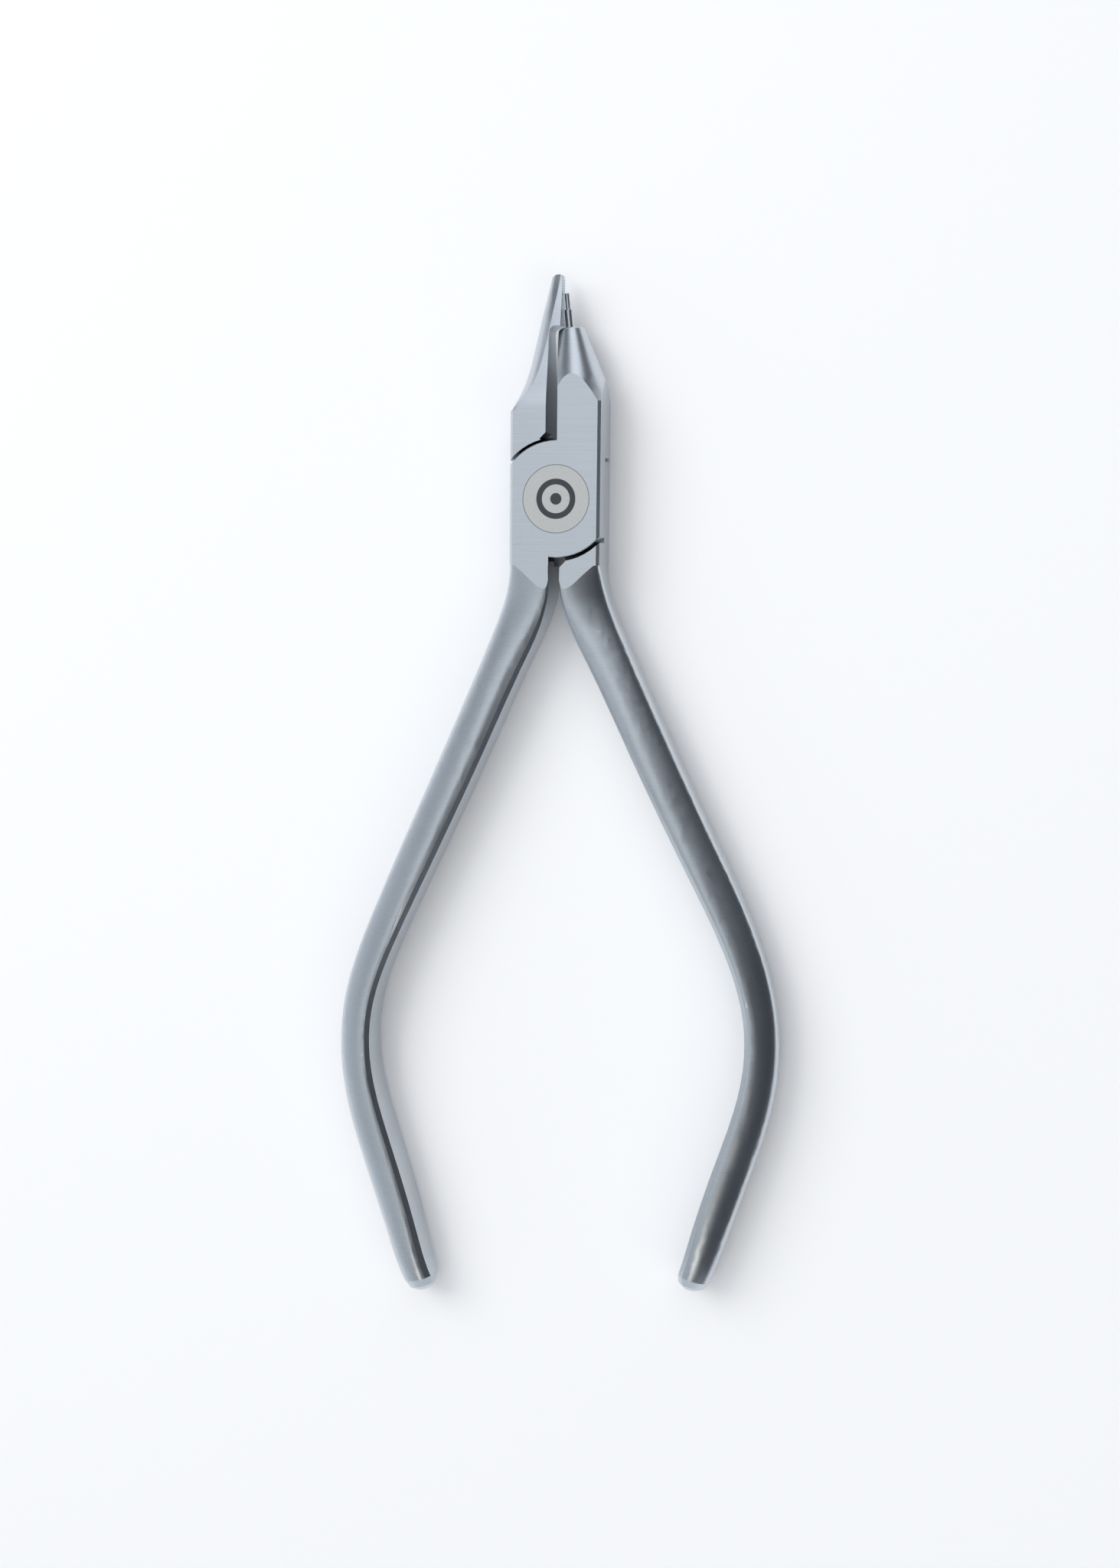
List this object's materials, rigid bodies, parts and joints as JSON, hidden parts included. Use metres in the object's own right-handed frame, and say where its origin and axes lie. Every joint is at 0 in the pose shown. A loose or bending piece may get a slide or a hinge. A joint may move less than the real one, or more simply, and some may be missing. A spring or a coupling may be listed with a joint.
{
  "type": "wire-forming pliers",
  "caption": "Small lap-joint jewellery pliers: a round stepped jaw closes on a finely serrated one, to crimp and to bend wire into small loops.",
  "frame": {"origin": "on the pivot axis, in the plane the rear face of the joint lies on", "axes": "+Y from the pivot to the jaws, +Z out of the front face of the joint, +X towards the arm that carries the serrated jaw"},
  "size_m": [0.0571, 0.1305, 0.0068],
  "materials": {
    "stepped_half_steel": "satin",
    "serrated_half_steel": "satin",
    "rivet_steel": "matt ground"
  },
  "bodies": {
    "serrated_half": {"serrated_jaw_half": "serrated_half_steel", "pivot_rivet": "rivet_steel"},
    "stepped_half": {"stepped_jaw_half": "stepped_half_steel"}
  },
  "joints": [
    {"name": "pivot", "type": "hinge", "parent": "serrated_half", "child": "stepped_half", "pos_m": [0, 0, 0.0034], "axis": [0, 0, -1], "range_deg": [0, 45]}
  ]
}
